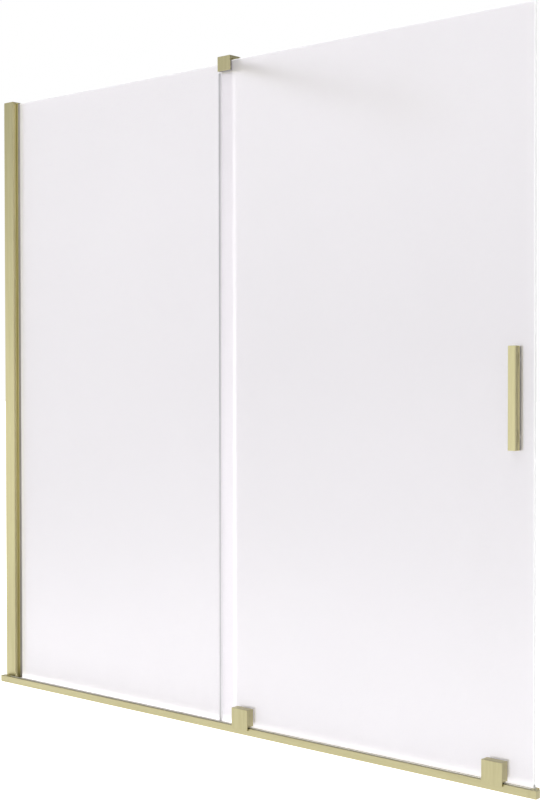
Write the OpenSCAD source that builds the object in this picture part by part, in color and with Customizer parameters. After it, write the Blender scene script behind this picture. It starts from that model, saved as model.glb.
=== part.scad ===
// Sliding bath screen with a fixed frosted pane and a sliding frosted pane
// Lengths are in millimetres
// X runs along the rail away from the wall, Y goes over the bath, Z is up
// The origin is the middle of the seat under the rail

/* [Whole screen] */
// length of the rail from the wall to its free end
screen_w = 1500; // [1400:10:1600]
// height of both panes above the rim of the bath
screen_h = 1400; // [1200:10:1500]
// thickness of both panes
glass_t = 8; // [8:1:8]
// width over which the two panes lie behind each other
pane_overlap = 29.6; // [28:0.2:36]
// distance from the end of the rail to the edge of the sliding pane
end_margin = 14.5; // [14.5:0.5:16]
// free space between the two panes
pane_gap = 7; // [7:0.5:8]
// distance from the rail's front face to the side wall of the room behind the bath
bath_w = 700; // [650:10:800]

/* [Rail and sill] */
// height of the rail
rail_h = 15; // [15:0.5:16]
// depth of the rail from front to back
rail_d = 14.5; // [14.5:0.5:15]
// wall thickness of the rail profile
rail_wall = 1.8; // [1.4:0.1:2]
// width of the running strip on the rail
strip_w = 3; // [2.6:0.1:3]
// height of the running strip on the rail
strip_h = 1; // [0.8:0.1:1]
// depth to which the running strip is let into the rail
strip_in = 0.5; // [0.4:0.1:0.6]
// thickness of the sill's base plate
base_t = 1.6; // [1.4:0.1:1.8]
// height of the sill's two upright walls
upstand_h = 9; // [8:0.5:12]
// thickness of the sill's upright walls
upstand_t = 1.6; // [1.4:0.1:1.8]
// length of the block between the rail and the wall
wall_block_l = 30; // [26:1:34]
// length of the cap on the rail's free end
end_cap_l = 14; // [12:0.5:14]
// number of screws between sill and rail
rail_screw_count = 4; // [2:1:6]
// distance of the outer rail screws from the rail's ends
rail_screw_end = 60; // [40:5:80]
// play between the closed pane's edge and its stop
closing_play = 0.5; // [0.4:0.1:0.8]
// thickness of the closing stop
closing_stop_t = 2.4; // [2:0.1:3.5]
// depth of the closing stop behind the rail
closing_stop_d = 4; // [3:0.5:7]
// height of the closing stop above the rail
closing_rise = 6; // [4:0.5:10]
// height of the opening stop in the sill
opening_stop_h = 12; // [10:0.5:12]
// length of the blocks that carry the fixed pane
setting_block_l = 60; // [40:5:80]
// play between the rail and the sliding pane
rail_clear = 1.5; // [1.5:0.1:1.8]
// thickness of the glazing gaskets in the sill
sill_gasket_t = 1.8; // [1.6:0.1:2]

/* [Wall channel] */
// width of the wall channel along the rail
channel_w = 33; // [33:0.5:36]
// distance from the rail's front face to the channel's front face
channel_y = 17.5; // [17.5:0.1:18]
// wall thickness of the wall channel
channel_wall = 2; // [1.6:0.1:2.2]
// thickness of the channel's top cap
channel_cap_t = 3; // [2:0.5:4]
// outside depth of the profile around the glass edge
holder_d = 13; // [13:0.1:13.4]
// wall thickness of the profile around the glass edge
holder_wall = 1.2; // [1.1:0.1:1.3]
// how far the glass profile stands out of the wall channel
holder_out = 5; // [3:0.5:8]
// how far the gasket stands out of the glass profile
gasket_out = 5.5; // [4:0.5:8]
// distance of the outer wall screw holes from the ends of the panes
wall_hole_end = 100; // [60:10:150]
// distance between the two inner wall screw holes
wall_hole_pitch = 400; // [200:10:400]
// radius of the wall screw holes
wall_hole_r = 2.75; // [2.25:0.25:3]

/* [Carriages] */
// width of a carriage
carriage_w = 44; // [42:0.5:46]
// height of a carriage's front plate
carriage_h = 43; // [43:0.5:46]
// height of a carriage's lower edge above the rim
carriage_z = 10.5; // [9:0.5:11]
// thickness of a carriage's front plate
cover_t = 3.5; // [3:0.5:4]
// play between the front plate and the rail
cover_play = 0.5; // [0.4:0.1:0.8]
// distance from the pane's free edge to the middle of the right carriage
carriage_inset_right = 75; // [60:0.5:100]
// distance from the pane's other edge to the middle of the left carriage
carriage_inset_left = 73.5; // [60:0.5:100]
// outside radius of a roller
roller_r = 12.7; // [12.4:0.1:12.8]
// width of a roller
roller_w = 7; // [6:0.5:7]
// outside radius of a roller's bearing
bearing_r = 7.5; // [7:0.1:8]
// play between the running strip and a roller's flanges
strip_play = 0.3; // [0.3:0.1:0.5]
// radius of a roller's axle
axle_r = 3; // [2.5:0.1:3]
// width of the cavity around a roller
cavity_w = 10; // [9.6:0.1:10.4]
// side play between a roller and its spacers
roller_play = 0.3; // [0.2:0.1:0.4]
// radial play of a roller on its axle
axle_play = 0.05; // [0.02:0.01:0.1]
// distance between the two clamping screws of a carriage
clamp_pitch = 24; // [22:0.5:26]

/* [Handle] */
// length of the handle
handle_l = 186; // [160:2:240]
// width of the handle
handle_w = 16; // [14:0.5:20]
// height of the handle's middle above the rim
handle_z = 703; // [600:0.5:800]
// distance from the pane's edge to the middle of the handle
handle_inset = 37; // [30:1:60]
// depth of the handle's front bar
handle_bar_d = 9.5; // [8:0.5:11]
// depth of the groove behind the handle's front bar
handle_groove_d = 2.4; // [1.6:0.2:3]
// how far the neck behind the front bar lies back from the handle's sides
handle_neck_in = 0.6; // [0.5:0.1:3]
// depth of the handle's base on the glass
handle_base_d = 4; // [3:0.5:5]
// distance between the handle's screws
handle_pitch = 137; // [96:1:160]
// thickness of the flat plate behind the glass
handle_plate_t = 5; // [4:0.5:5]

/* [Top guide and support bar] */
// width of the top guide
guide_w = 35.5; // [34:0.5:40]
// height of the top guide
guide_h = 32.5; // [32:0.5:40]
// height of the top guide above the panes
guide_rise = 9.5; // [8:0.5:10]
// thickness of the top guide's bridge
bridge_t = 6; // [4:0.2:6.4]
// thickness of the guide's front jaw
jaw_t = 2.5; // [2:0.5:3]
// distance from the rail's front face to the guide's front face
guide_y = 9.5; // [9:0.1:9.8]
// height of the sliding pads in the guide
glide_h = 20; // [14:1:22]
// how far the guide stands beyond the fixed pane's edge
guide_over = 8; // [8:0.1:10]
// side of the square support bar
bar_side = 15; // [12:0.5:16]
// wall thickness of the support bar
bar_wall = 1.5; // [1.2:0.1:1.8]
// height of the bar's middle below the panes' top
bar_drop = 4; // [2:0.5:6]
// length of the plugs inside the ends of the bar
plug_l = 20; // [16:1:24]
// side of the square wall flange
flange_side = 50; // [46:1:60]
// thickness of the wall flange
flange_t = 6; // [4:0.5:8]
// distance between the two holes of the wall flange
flange_pitch = 35; // [33:0.5:36]

/* [Hidden] */
$fn = 48;
// depths, measured from the rail's front face
slide_front = rail_d + rail_clear;
slide_back = slide_front + glass_t;
fixed_front = slide_back + pane_gap;
fixed_back = fixed_front + glass_t;
fixed_mid = (fixed_front + fixed_back) / 2;
sill_y0 = 0.5;
sill_y1 = fixed_back + sill_gasket_t + upstand_t;
seat_mid = (sill_y0 + sill_y1) / 2;
channel_d = 2 * (fixed_mid - channel_y);
channel_y1 = channel_y + channel_d;
mouth_y0 = fixed_mid - holder_d / 2 - 0.3;
mouth_y1 = fixed_mid + holder_d / 2 + 0.3;
holder_y0 = fixed_mid - holder_d / 2;
holder_y1 = fixed_mid + holder_d / 2;
// lengths, measured from the wall
slide_x1 = screen_w - end_margin;
fixed_x1 = (screen_w + 2.2) / 2;
slide_x0 = fixed_x1 - pane_overlap;
fixed_x0 = 18;
rail_x1 = screen_w - end_cap_l;
sill_x1 = rail_x1 - 4;
upstand_x0 = channel_w + holder_out + 0.5;
carriage_xs = [slide_x0 + carriage_inset_left, slide_x1 - carriage_inset_right];
handle_x = slide_x1 - handle_inset;
guide_x1 = fixed_x1 + guide_over;
guide_x0 = guide_x1 - guide_w;
bar_x = (guide_x0 + guide_x1) / 2;
// heights above the rim
fixed_z0 = base_t + 3.4;
slide_z0 = 7;
channel_top = screen_h + 0.8;
guide_z1 = screen_h + guide_rise;
guide_z0 = guide_z1 - guide_h;
bar_z = screen_h - bar_drop;
axle_z = rail_h + 0.3 + roller_r;
tread_r = roller_r - strip_h;
carriage_z1 = carriage_z + carriage_h;
body_z0 = rail_h + 2.5;
body_y0 = -cover_play;
pad_t = 0.8;
body_y1 = slide_front - pad_t;
clamp_z = axle_z + roller_r + 7;
cavity_top = axle_z + roller_r + 1.2;
roller_y = rail_d / 2;
plate_t = 4;
plate_z0 = 22;
guide_hole = [bar_x - 9, guide_z0 + 7];
cheek_hole = [fixed_x1 + 4.1, guide_z0 + 14];
grub_ys = [fixed_back + 16, bath_w - 16];
locking_zs = [screen_h * 0.15, screen_h * 0.5, screen_h * 0.85];
wall_hole_zs = [
    wall_hole_end, screen_h / 2 - wall_hole_pitch / 2, screen_h / 2 + wall_hole_pitch / 2,
    screen_h - wall_hole_end
];
// colours
gold = [0.78, 0.70, 0.46];
gold_dark = [0.66, 0.59, 0.39];
frosted = [0.90, 0.89, 0.92, 0.75];
steel = [0.72, 0.72, 0.73];
rubber_dark = [0.30, 0.29, 0.26];
rubber_grey = [0.62, 0.61, 0.60];
nylon = [0.88, 0.87, 0.84];

// moves lengths and depths from the wall and the rail's front face to the origin
module placed() {
    translate([-screen_w / 2, -seat_mid, 0]) children();
}

// plain box between two corners
module box(x0, x1, y0, y1, z0, z1) {
    translate([x0, y0, z0]) cube([x1 - x0, y1 - y0, z1 - z0]);
}

// outline of a rectangle with its four corners cut at 45 degrees
module cut_rect(x0, x1, y0, y1, c) {
    polygon([
        [x0 + c, y0], [x1 - c, y0], [x1, y0 + c], [x1, y1 - c],
        [x1 - c, y1], [x0 + c, y1], [x0, y1 - c], [x0, y0 + c]
    ]);
}

// extrudes an outline of depth and height along X
module along_x(x0, x1) {
    translate([x0, 0, 0]) rotate([90, 0, 90]) linear_extrude(x1 - x0) children();
}

// extrudes an outline of X and depth upwards
module upwards(z0, z1) {
    translate([0, 0, z0]) linear_extrude(z1 - z0) children();
}

// extrudes an outline of X and height along Y
module along_y(y0, y1) {
    translate([0, y1, 0]) rotate([90, 0, 0]) linear_extrude(y1 - y0) children();
}

// box with all twelve edges cut at 45 degrees
module eased_box(x0, x1, y0, y1, z0, z1, c) {
    intersection() {
        along_x(x0, x1) cut_rect(y0, y1, z0, z1, c);
        along_y(y0, y1) cut_rect(x0, x1, z0, z1, c);
        upwards(z0, z1) cut_rect(x0, x1, y0, y1, c);
    }
}

// round bar or hole along Y
module rod_y(x, z, y0, y1, r) {
    translate([x, y0, z]) rotate([-90, 0, 0]) cylinder(r = r, h = y1 - y0);
}

// round bar or hole along X
module rod_x(y, z, x0, x1, r) {
    translate([x0, y, z]) rotate([0, 90, 0]) cylinder(r = r, h = x1 - x0);
}

// round bar or hole along Z
module rod_z(x, y, z0, z1, r) {
    translate([x, y, z0]) cylinder(r = r, h = z1 - z0);
}

// countersunk screw along Y with its head's flat face at y1
module flush_screw_y(x, z, y0, y1, r, head_r) {
    difference() {
        union() {
            rod_y(x, z, y0, y1 - head_r + r + 0.01, r);
            translate([x, y1 - head_r + r, z]) rotate([-90, 0, 0])
                cylinder(r1 = r, r2 = head_r, h = head_r - r);
        }
        translate([x, y1 - 1.6, z]) rotate([-90, 0, 0]) cylinder(r = r * 0.58, h = 2, $fn = 6);
    }
}

// room for a countersunk screw along Y
module flush_hole_y(x, z, y0, y1, r, head_r) {
    rod_y(x, z, y0 - 1, y1 + 1, r);
    translate([x, y1 - head_r + r - 0.2, z]) rotate([-90, 0, 0])
        cylinder(r1 = r, r2 = head_r + 0.3, h = head_r - r + 0.3);
}

// places of the screws between sill and rail
function rail_screw_x(i) = wall_block_l + rail_screw_end
    + i * (rail_x1 - wall_block_l - 2 * rail_screw_end) / (rail_screw_count - 1);

// lower profile that seats the fixed pane and catches water
module sill_channel() {
    placed() color(gold) difference() {
        union() {
            box(0, sill_x1, sill_y0, sill_y1, 0, base_t);
            box(0, rail_x1, sill_y0, rail_d, 0, base_t);
            box(upstand_x0, sill_x1, fixed_front - sill_gasket_t - upstand_t,
                fixed_front - sill_gasket_t, 0, upstand_h);
            box(upstand_x0, sill_x1, fixed_back + sill_gasket_t, sill_y1, 0, upstand_h);
        }
        for (i = [0 : rail_screw_count - 1]) {
            rod_z(rail_screw_x(i), roller_y, -1, base_t + 1, 2.1);
            translate([rail_screw_x(i), roller_y, -0.01])
                cylinder(r1 = 3.9, r2 = 2.1, h = 1.3);
        }
    }
}

// gasket strips on both faces of the fixed pane in the sill
module sill_gaskets() {
    placed() color(rubber_grey) {
        box(upstand_x0 + 0.5, fixed_x1, fixed_front - sill_gasket_t, fixed_front,
            base_t + 0.4, upstand_h + 0.8);
        box(upstand_x0 + 0.5, fixed_x1, fixed_back, fixed_back + sill_gasket_t,
            base_t + 0.4, upstand_h + 0.8);
    }
}

// strip that closes the empty part of the sill beside the fixed pane
module sill_filler() {
    placed() color(gold) difference() {
        box(fixed_x1 + 2, sill_x1 - 1, fixed_front - sill_gasket_t + 0.1,
            fixed_back + sill_gasket_t - 0.1, base_t, upstand_h);
        box(fixed_x1, sill_x1 + 1, fixed_front, fixed_back, -1, upstand_h - 1.4);
    }
}

// blocks that carry the fixed pane
module setting_blocks() {
    placed() color(nylon) for (x = [fixed_x1 * 0.2, fixed_x1 * 0.85])
        box(x - setting_block_l / 2, x + setting_block_l / 2, fixed_front, fixed_back, base_t,
            fixed_z0);
}

// hollow rail with a groove for the running strip on top
module rail_track() {
    placed() color(gold) difference() {
        along_x(wall_block_l, rail_x1) cut_rect(0, rail_d, base_t, rail_h, 0.4);
        box(wall_block_l - 1, rail_x1 + 1, rail_wall, rail_d - rail_wall,
            base_t + rail_wall, rail_h - rail_wall);
        box(wall_block_l - 1, rail_x1 + 1, roller_y - strip_w / 2, roller_y + strip_w / 2,
            rail_h - strip_in, rail_h + 1);
        for (i = [0 : rail_screw_count - 1])
            rod_z(rail_screw_x(i), roller_y, base_t - 1, base_t + rail_wall + 1, 2.05);
    }
}

// steel strip on the rail that the rollers run on
module running_strip() {
    placed() color(steel)
        along_x(wall_block_l, rail_x1) cut_rect(roller_y - strip_w / 2, roller_y + strip_w / 2,
            rail_h - strip_in, rail_h + strip_h, 0.3);
}

// countersunk screws that hold the rail on the sill
module rail_screws() {
    placed() color(steel) for (i = [0 : rail_screw_count - 1]) {
        difference() {
            union() {
                rod_z(rail_screw_x(i), roller_y, 0.15, base_t + rail_wall + 4, 2);
                translate([rail_screw_x(i), roller_y, 0.15])
                    cylinder(r1 = 3.5, r2 = 2, h = 1.1);
            }
            translate([rail_screw_x(i), roller_y, -1]) cylinder(r = 1.2, h = 2.2, $fn = 6);
        }
    }
}

// block between the rail and the wall with a spigot in the rail
module rail_wall_block() {
    placed() color(gold) difference() {
        union() {
            eased_box(0, wall_block_l, 0, rail_d, base_t, rail_h, 0.4);
            box(wall_block_l - 1, wall_block_l + 16, rail_wall + 0.2, rail_d - rail_wall - 0.2,
                base_t + rail_wall + 0.2, rail_h - rail_wall - 0.2);
        }
        rod_x(roller_y, base_t + 6.7, -1, 6, 2);
    }
}

// cap on the rail's free end
module rail_end_cap() {
    placed() color(gold) {
        eased_box(rail_x1, screen_w, 0, rail_d, 0, rail_h, 0.5);
        box(rail_x1 - 12, rail_x1 + 1, rail_wall + 0.2, rail_d - rail_wall - 0.2,
            base_t + rail_wall + 0.2, rail_h - rail_wall - 0.2);
    }
}

// rubber stop in the sill that limits the opening travel
module opening_stop() {
    placed() color(rubber_grey)
        eased_box(channel_w + holder_out, channel_w + holder_out + 11.2, slide_front + 0.2,
            slide_back - 0.2, base_t, opening_stop_h, 0.6);
}

// rubber stop at the free end that the closed pane rests near
module closing_stop() {
    placed() color(rubber_grey)
        eased_box(slide_x1 + closing_play, slide_x1 + closing_play + closing_stop_t, rail_d,
            rail_d + closing_stop_d, base_t, rail_h + closing_rise, 0.4);
}

// channel that is screwed to the wall
module wall_channel() {
    placed() color(gold) difference() {
        upwards(base_t, channel_top) cut_rect(0, channel_w, channel_y, channel_y1, 0.5);
        box(channel_wall, channel_w - channel_wall, channel_y + channel_wall,
            channel_y1 - channel_wall, 0, channel_top + 1);
        box(channel_w - 5, channel_w + 1, mouth_y0, mouth_y1, 0, channel_top + 1);
        for (z = wall_hole_zs) rod_x(fixed_mid, z, -1, channel_wall + 1, wall_hole_r);
        for (z = locking_zs)
            rod_y(20, z, channel_y1 - channel_wall - 1, channel_y1 + 1, 2.1);
    }
}

// cap on top of the wall channel
module wall_channel_cap() {
    placed() color(gold) {
        eased_box(0, channel_w, channel_y, channel_y1, channel_top, channel_top + channel_cap_t,
            0.6);
        box(channel_wall + 0.3, 10.5, channel_y + channel_wall + 0.3,
            channel_y1 - channel_wall - 0.3, channel_top - 12, channel_top + 1);
    }
}

// profile that holds the fixed pane and adjusts inside the wall channel
module glass_profile() {
    wing_y0 = channel_y + channel_wall + 0.4;
    wing_y1 = channel_y1 - channel_wall - 0.4;
    placed() color(gold) difference() {
        upwards(base_t + 0.4, screen_h) {
            translate([12, holder_y0]) square([channel_w + holder_out - 12, holder_wall]);
            translate([12, holder_y1 - holder_wall])
                square([channel_w + holder_out - 12, holder_wall]);
            translate([12, wing_y0]) square([1.6, wing_y1 - wing_y0]);
            translate([12, wing_y0]) square([14, 1.2]);
            translate([12, wing_y1 - 1.2]) square([14, 1.2]);
        }
        for (z = locking_zs)
            rod_y(20, z, wing_y1 - 2.2, wing_y1 + 1, 2.05);
    }
}

// gasket strips between the fixed pane and its profile
module glass_profile_gaskets() {
    x1 = channel_w + holder_out + gasket_out;
    placed() color(rubber_dark) {
        box(fixed_x0, x1, holder_y0 + holder_wall, fixed_front, upstand_h + 1, screen_h - 0.5);
        box(fixed_x0, channel_w + holder_out + 1, fixed_back, holder_y1 - holder_wall,
            upstand_h + 1, screen_h - 0.5);
    }
}

// screws that lock the glass profile in the wall channel
module locking_screws() {
    placed() color(steel) for (z = locking_zs) {
        difference() {
            union() {
                rod_y(20, z, channel_y1 - 7, channel_y1 + 0.1, 2);
                rod_y(20, z, channel_y1, channel_y1 + 2.2, 3.6);
            }
            translate([20, channel_y1 + 0.8, z]) rotate([-90, 0, 0])
                cylinder(r = 1.3, h = 2, $fn = 6);
        }
    }
}

// fixed pane of frosted glass
module fixed_glass() {
    placed() color(frosted) difference() {
        box(fixed_x0, fixed_x1, fixed_front, fixed_back, fixed_z0, screen_h);
        rod_y(guide_hole[0], guide_hole[1], fixed_front - 1, fixed_back + 1, 5);
    }
}

// guide on the corner of the fixed pane with a slot for the sliding pane
module guide_body() {
    web_y0 = slide_back + 1.2;
    web_y1 = fixed_front - 0.6;
    placed() color(gold) difference() {
        union() {
            eased_box(guide_x0, guide_x1, guide_y, fixed_back + 0.8, guide_z1 - bridge_t,
                guide_z1, 0.5);
            eased_box(guide_x0, guide_x1, guide_y, guide_y + jaw_t, guide_z0, guide_z1, 0.5);
            box(guide_x0, guide_x1, web_y0, web_y1, guide_z0, guide_z1 - 1);
            box(fixed_x1 + 0.6, guide_x1, web_y0, fixed_back + 0.8, guide_z0, guide_z1 - 1);
        }
        rod_y(guide_hole[0], guide_hole[1], web_y0 + 1, fixed_front, 3.05);
        rod_y(cheek_hole[0], cheek_hole[1], web_y0 + 3, fixed_back + 2, 2.05);
        for (x = [guide_x0 + 9, guide_x1 - 9])
            rod_y(x, guide_z0 + 12, guide_y + jaw_t - 1.5, guide_y + jaw_t + 1, 2.05);
    }
}

// sliding pads on both sides of the guide's slot
module guide_glides() {
    placed() color(rubber_dark) {
        eased_box(guide_x0 + 1, guide_x1 - 0.6, guide_y + jaw_t, slide_front - 0.4, guide_z0 + 2,
            guide_z0 + 2 + glide_h, 0.3);
        eased_box(guide_x0 + 1, guide_x1 - 0.6, slide_back + 0.4, slide_back + 1.2, guide_z0 + 2,
            guide_z0 + 2 + glide_h, 0.2);
        for (x = [guide_x0 + 9, guide_x1 - 9])
            rod_y(x, guide_z0 + 12, guide_y + jaw_t - 1.4, guide_y + jaw_t + 0.5, 2);
    }
}

// soft sheets between the guide and the fixed pane
module guide_gaskets() {
    placed() color(rubber_dark) for (y = [fixed_front - 0.6, fixed_back]) {
        difference() {
            box(guide_x0 + 0.5, fixed_x1, y, y + (y < fixed_mid ? 0.6 : 0.8), guide_z0 + 0.5,
                screen_h);
            rod_y(guide_hole[0], guide_hole[1], y - 1, y + 2, 4);
        }
    }
}

// sleeve around the clamping screw in the fixed pane
module guide_bush() {
    placed() color(nylon) difference() {
        rod_y(guide_hole[0], guide_hole[1], fixed_front, fixed_back, 4.9);
        rod_y(guide_hole[0], guide_hole[1], fixed_front - 1, fixed_back + 1, 3.1);
    }
}

// plate behind the fixed pane with the plug for the support bar
module guide_clamp_plate() {
    y0 = fixed_back + 0.8;
    half = bar_side / 2 - bar_wall - 0.2;
    placed() color(gold) difference() {
        union() {
            eased_box(guide_x0 + 0.4, guide_x1, y0, y0 + 5, guide_z0 + 1, guide_z1 - 1, 0.5);
            box(bar_x - half, bar_x + half, y0 + 4, y0 + 6 + plug_l, bar_z - half, bar_z + half);
        }
        flush_hole_y(guide_hole[0], guide_hole[1], y0, y0 + 5, 3.1, 4.7);
        flush_hole_y(cheek_hole[0], cheek_hole[1], y0, y0 + 5, 2.1, 3);
        rod_z(bar_x, grub_ys[0], bar_z - half - 1, bar_z - half + 4.2, 2.55);
    }
}

// screws that clamp the guide on the fixed pane
module guide_screws() {
    y1 = fixed_back + 5.7;
    placed() color(steel) {
        flush_screw_y(guide_hole[0], guide_hole[1], slide_back + 2.4, y1, 3, 4.6);
        flush_screw_y(cheek_hole[0], cheek_hole[1], slide_back + 6, y1, 2, 2.9);
    }
}

// square tube from the guide to the wall behind the bath
module support_bar() {
    y0 = fixed_back + 6;
    y1 = bath_w - flange_t - 0.2;
    placed() color(gold) difference() {
        along_y(y0, y1) difference() {
            cut_rect(bar_x - bar_side / 2, bar_x + bar_side / 2, bar_z - bar_side / 2,
                bar_z + bar_side / 2, 0.6);
            translate([bar_x - bar_side / 2 + bar_wall, bar_z - bar_side / 2 + bar_wall])
                square(bar_side - 2 * bar_wall);
        }
        for (y = grub_ys)
            rod_z(bar_x, y, bar_z - bar_side / 2 - 1, bar_z - bar_side / 2 + bar_wall + 1, 2.55);
    }
}

// small screws that fix the support bar on its two plugs
module bar_grub_screws() {
    placed() color(steel) for (y = grub_ys) {
        difference() {
            rod_z(bar_x, y, bar_z - bar_side / 2 + 0.2, bar_z - bar_side / 2 + 5.4, 2.5);
            translate([bar_x, y, bar_z - bar_side / 2 - 1])
                cylinder(r = 1.25, h = 3.4, $fn = 6);
        }
    }
}

// flange that holds the support bar on the wall behind the bath
module wall_flange() {
    y0 = bath_w - flange_t;
    half = bar_side / 2 - bar_wall - 0.2;
    placed() color(gold) difference() {
        union() {
            eased_box(bar_x - flange_side / 2, bar_x + flange_side / 2, y0, bath_w,
                bar_z - flange_side / 2, bar_z + flange_side / 2, 0.8);
            box(bar_x - half, bar_x + half, y0 - 4 - plug_l, y0 + 1, bar_z - half, bar_z + half);
        }
        for (s = [-1, 1]) {
            rod_y(bar_x, bar_z + s * flange_pitch / 2, y0 - 1, bath_w + 1, wall_hole_r);
            translate([bar_x, y0 - 0.01, bar_z + s * flange_pitch / 2]) rotate([-90, 0, 0])
                cylinder(r1 = 5, r2 = wall_hole_r, h = 5 - wall_hole_r);
        }
        rod_z(bar_x, grub_ys[1], bar_z - half - 1, bar_z - half + 4.2, 2.55);
    }
}

// sliding pane of frosted glass
module sliding_glass() {
    placed() color(frosted) difference() {
        box(slide_x0, slide_x1, slide_front, slide_back, slide_z0, screen_h);
        for (cx = carriage_xs) for (s = [-1, 1])
            rod_y(cx + s * clamp_pitch / 2, clamp_z, slide_front - 1, slide_back + 1, 5);
        for (s = [-1, 1])
            rod_y(handle_x, handle_z + s * handle_pitch / 2, slide_front - 1, slide_back + 1, 5);
    }
}

// soft strip on the sliding pane's edge that closes the gap between the panes
module meeting_seal() {
    placed() color(rubber_grey) upwards(upstand_h + 2, guide_z0 - 1) {
        translate([slide_x0 - 1.2, slide_front - 0.8]) square([6.6, 0.8]);
        translate([slide_x0 - 1.2, slide_front - 0.8]) square([1.2, glass_t + 1.6]);
        translate([slide_x0 - 1.2, slide_back]) square([6.6, 0.8]);
        translate([slide_x0 + 3, slide_back + 0.5]) square([1, pane_gap - 0.9]);
    }
}

// soft strip under the sliding pane
module bottom_seal() {
    placed() color(rubber_grey) along_x(slide_x0 + 1, slide_x1 - 1.5) {
        translate([slide_front - 0.8, slide_z0 - 1.2]) square([glass_t + 1.6, 1.2]);
        translate([slide_front - 0.8, slide_z0 - 1.2]) square([0.8, 7.2]);
        translate([slide_back, slide_z0 - 1.2]) square([0.8, 6]);
        translate([slide_front + glass_t / 2 - 0.5, base_t + 0.8])
            square([1, slide_z0 - base_t - 1.5]);
    }
}

// front plate of a carriage, hanging over the rail
module carriage_cover(cx) {
    placed() color(gold)
        eased_box(cx - carriage_w / 2, cx + carriage_w / 2, body_y0 - cover_t, body_y0,
            carriage_z, carriage_z1, 0.7);
}

// body of a carriage with the roller's cavity
module carriage_body(cx) {
    placed() color(gold) difference() {
        along_y(body_y0, body_y1) cut_rect(cx - carriage_w / 2, cx + carriage_w / 2, body_z0,
            carriage_z1, 0.7);
        box(cx - roller_r - 2.3, cx + roller_r + 2.3, roller_y - cavity_w / 2,
            roller_y + cavity_w / 2, body_z0 - 1, cavity_top);
        rod_y(cx, axle_z, body_y0 + 0.5, body_y1 + 1, axle_r + 0.02);
        for (s = [-1, 1])
            rod_y(cx + s * clamp_pitch / 2, clamp_z, 3, body_y1 + 1, 2.55);
    }
}

// clamping plate behind the sliding pane
module carriage_back_plate(cx) {
    y0 = slide_back + pad_t;
    placed() color(gold_dark) difference() {
        eased_box(cx - 19, cx + 19, y0, y0 + plate_t, plate_z0, carriage_z1, 0.5);
        for (s = [-1, 1])
            flush_hole_y(cx + s * clamp_pitch / 2, clamp_z, y0, y0 + plate_t, 2.6, 4.5);
    }
}

// soft sheets between the carriages and the glass
module carriage_pads() {
    placed() color(rubber_grey) for (cx = carriage_xs) for (y = [body_y1, slide_back]) {
        difference() {
            box(cx - 18.5, cx + 18.5, y, y + pad_t, plate_z0 + 0.5, carriage_z1 - 0.5);
            for (s = [-1, 1]) rod_y(cx + s * clamp_pitch / 2, clamp_z, y - 1, y + 2, 3);
            rod_y(cx, axle_z, y - 1, y + 2, axle_r + 0.5);
        }
    }
}

// screws that clamp the carriages on the glass
module carriage_screws() {
    placed() color(steel) for (cx = carriage_xs) for (s = [-1, 1])
        flush_screw_y(cx + s * clamp_pitch / 2, clamp_z, 5, slide_back + pad_t + plate_t, 2.5, 4.4);
}

// sleeves around the carriage screws in the glass
module carriage_bushes() {
    placed() color(nylon) for (cx = carriage_xs) for (s = [-1, 1]) {
        difference() {
            rod_y(cx + s * clamp_pitch / 2, clamp_z, slide_front, slide_back, 4.9);
            rod_y(cx + s * clamp_pitch / 2, clamp_z, slide_front - 1, slide_back + 1, 2.6);
        }
    }
}

// axle of a roller, fixed in the carriage body
module roller_axle(cx) {
    placed() color(steel) rod_y(cx, axle_z, body_y0 + 0.6, body_y1 - 0.2, axle_r);
}

// washers on both sides of the rollers
module axle_spacers() {
    placed() color(steel) for (cx = carriage_xs)
        for (y = [roller_y - cavity_w / 2, roller_y + roller_w / 2 + roller_play]) {
            difference() {
                rod_y(cx, axle_z, y, y + cavity_w / 2 - roller_w / 2 - roller_play, 4.6);
                rod_y(cx, axle_z, y - 1, y + 4, axle_r + 0.02);
            }
        }
}

// running ring of a roller, turned around the axle
module roller_tyre(cx) {
    gw = strip_w / 2 + strip_play;
    placed() color(nylon) translate([cx, roller_y, axle_z]) rotate([-90, 0, 0])
        rotate_extrude() polygon([
            [bearing_r, -gw], [tread_r, -gw], [tread_r, gw], [bearing_r, gw]
        ]);
}

// two larger discs beside a roller's running ring that keep it on the strip
module roller_flanges(cx) {
    hw = roller_w / 2;
    gw = strip_w / 2 + strip_play;
    placed() color(steel) translate([cx, roller_y, axle_z]) rotate([-90, 0, 0]) {
        rotate_extrude() polygon([
            [bearing_r, -hw], [roller_r - 0.4, -hw], [roller_r, -hw + 0.4], [roller_r, -gw],
            [bearing_r, -gw]
        ]);
        rotate_extrude() polygon([
            [bearing_r, gw], [roller_r, gw], [roller_r, hw - 0.4], [roller_r - 0.4, hw],
            [bearing_r, hw]
        ]);
    }
}

// ball bearing inside a roller
module roller_bearing(cx) {
    hw = roller_w / 2 - 0.4;
    placed() color(steel) translate([cx, roller_y, axle_z]) rotate([-90, 0, 0])
        rotate_extrude() polygon([
            [axle_r + axle_play, -hw], [axle_r + 1.4, -hw], [axle_r + 1.4, -hw + 0.5],
            [bearing_r - 1.2, -hw + 0.5], [bearing_r - 1.2, -hw], [bearing_r, -hw],
            [bearing_r, hw], [bearing_r - 1.2, hw], [bearing_r - 1.2, hw - 0.5],
            [axle_r + 1.4, hw - 0.5], [axle_r + 1.4, hw], [axle_r + axle_play, hw]
        ]);
}

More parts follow.
